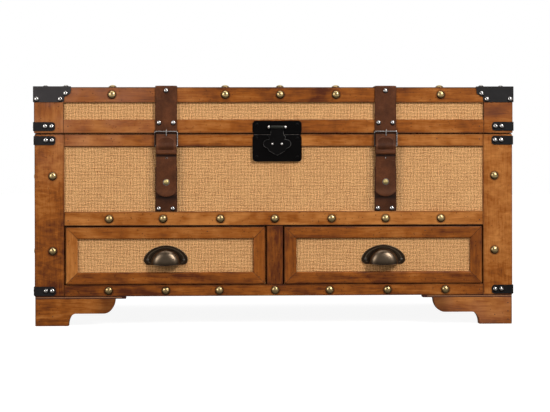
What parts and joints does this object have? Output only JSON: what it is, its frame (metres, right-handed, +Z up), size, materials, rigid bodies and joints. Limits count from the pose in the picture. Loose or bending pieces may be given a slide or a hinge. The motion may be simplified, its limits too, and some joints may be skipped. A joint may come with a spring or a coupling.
{
  "type": "storage chest",
  "caption": "Low trunk-style storage chest: burlap panels in wooden frames, hinged lid with hasp, leather straps with buckles, drawers with cup pulls below, bracket feet.",
  "frame": {"origin": "centre of the bounding box in plan, at floor level", "axes": "+X to the right seen from the front, -Y to the front (drawers and straps), +Z up"},
  "size_m": [0.9248, 0.4776, 0.4591],
  "materials": {
    "stained_wood": "satin orange-brown stain, worn grain",
    "plain_board": "plain unfinished board",
    "burlap_board": "tan woven burlap glued on board",
    "brown_leather": "smooth dark brown",
    "black_iron": "satin black",
    "dark_bronze": "dark oiled bronze, satin",
    "antique_brass": "dull antique brass",
    "nickel": "bright nickel wire"
  },
  "bodies": {
    "chest": {"corner_post_front_left": "stained_wood", "corner_post_front_right": "stained_wood", "corner_post_rear_left": "stained_wood", "corner_post_rear_right": "stained_wood", "front_bottom_rail": "stained_wood", "front_mid_rail": "stained_wood", "front_top_rail": "stained_wood", "drawer_muntin": "stained_wood", "front_panel": "burlap_board", "side_panel_left": "burlap_board", "side_panel_right": "burlap_board", "back_panel": "burlap_board", "bottom_board": "plain_board", "drawer_partition": "plain_board", "drawer_guide_left": "plain_board", "drawer_guide_right": "plain_board", "compartment_floor": "plain_board", "foot_front_left": "stained_wood", "foot_front_right": "stained_wood", "foot_rear_left": "stained_wood", "foot_rear_right": "stained_wood", "body_band_lower_left": "black_iron", "body_band_lower_right": "black_iron", "body_band_upper_left": "black_iron", "body_band_upper_right": "black_iron", "latch_body_plate": "black_iron", "strap_base_left": "brown_leather", "strap_base_right": "brown_leather", "hinge_body_leaf_left": "antique_brass", "hinge_body_leaf_right": "antique_brass"},
    "lid": {"lid_shell": "burlap_board", "lid_front_frame": "stained_wood", "lid_back_frame": "stained_wood", "lid_side_frame_left": "stained_wood", "lid_side_frame_right": "stained_wood", "lid_top_frame": "stained_wood", "lid_corner_front_left": "black_iron", "lid_corner_front_right": "black_iron", "lid_corner_rear_left": "black_iron", "lid_corner_rear_right": "black_iron", "lid_band_left": "black_iron", "lid_band_right": "black_iron", "lid_strap_left": "brown_leather", "lid_strap_right": "brown_leather", "latch_lid_plate": "black_iron", "hinge_lid_leaf_left": "antique_brass", "hinge_lid_leaf_right": "antique_brass"},
    "hasp_flap": {"hasp": "black_iron"},
    "strap_flap_left": {"strap_tail_left": "brown_leather"},
    "strap_flap_right": {"strap_tail_right": "brown_leather"},
    "buckle_ring_left": {"buckle_left": "nickel"},
    "buckle_ring_right": {"buckle_right": "nickel"},
    "stay_upper": {"stay_upper_arm": "black_iron"},
    "stay_lower": {"stay_lower_arm": "black_iron"},
    "drawer_left": {"drawer_box_left": "burlap_board", "drawer_moulding_left": "stained_wood", "drawer_pull_left": "dark_bronze"},
    "drawer_right": {"drawer_box_right": "burlap_board", "drawer_moulding_right": "stained_wood", "drawer_pull_right": "dark_bronze"}
  },
  "joints": [
    {"name": "lid_hinge", "type": "hinge", "parent": "chest", "child": "lid", "pos_m": [0, 0.2346, 0.3657], "axis": [-1, 0, 0], "range_deg": [0, 100]},
    {"name": "hasp_pivot", "type": "hinge", "parent": "lid", "child": "hasp_flap", "pos_m": [0.0045, -0.2252, 0.3781], "axis": [-1, 0, 0], "range_deg": [0, 165]},
    {"name": "strap_fold_left", "type": "hinge", "parent": "lid", "child": "strap_flap_left", "pos_m": [-0.207, -0.2227, 0.3812], "axis": [-1, 0, 0], "range_deg": [0, 100]},
    {"name": "strap_fold_right", "type": "hinge", "parent": "lid", "child": "strap_flap_right", "pos_m": [0.2125, -0.2227, 0.3812], "axis": [-1, 0, 0], "range_deg": [0, 100]},
    {"name": "buckle_pivot_left", "type": "hinge", "parent": "strap_flap_left", "child": "buckle_ring_left", "pos_m": [-0.207, -0.2249, 0.3414], "axis": [1, 0, 0], "range_deg": [0, 80]},
    {"name": "buckle_pivot_right", "type": "hinge", "parent": "strap_flap_right", "child": "buckle_ring_right", "pos_m": [0.2125, -0.2249, 0.3414], "axis": [1, 0, 0], "range_deg": [0, 80]},
    {"name": "stay_upper_pivot", "type": "hinge", "parent": "lid", "child": "stay_upper", "pos_m": [-0.4385, 0.1046, 0.4107], "axis": [-1, 0, 0], "range_deg": [-100, 0]},
    {"name": "stay_lower_pivot", "type": "hinge", "parent": "chest", "child": "stay_lower", "pos_m": [-0.4385, 0.1046, 0.3207], "axis": [-1, 0, 0], "range_deg": [0, 100]},
    {"name": "drawer_slide_left", "type": "slide", "parent": "chest", "child": "drawer_left", "axis": [0, -1, 0], "range_m": [0, 0.3]},
    {"name": "drawer_slide_right", "type": "slide", "parent": "chest", "child": "drawer_right", "axis": [0, -1, 0], "range_m": [0, 0.3]}
  ],
  "couplings": [
    {"joint": "stay_upper_pivot", "follows": "lid_hinge", "ratio": -1},
    {"joint": "stay_lower_pivot", "follows": "lid_hinge", "ratio": 1}
  ]
}
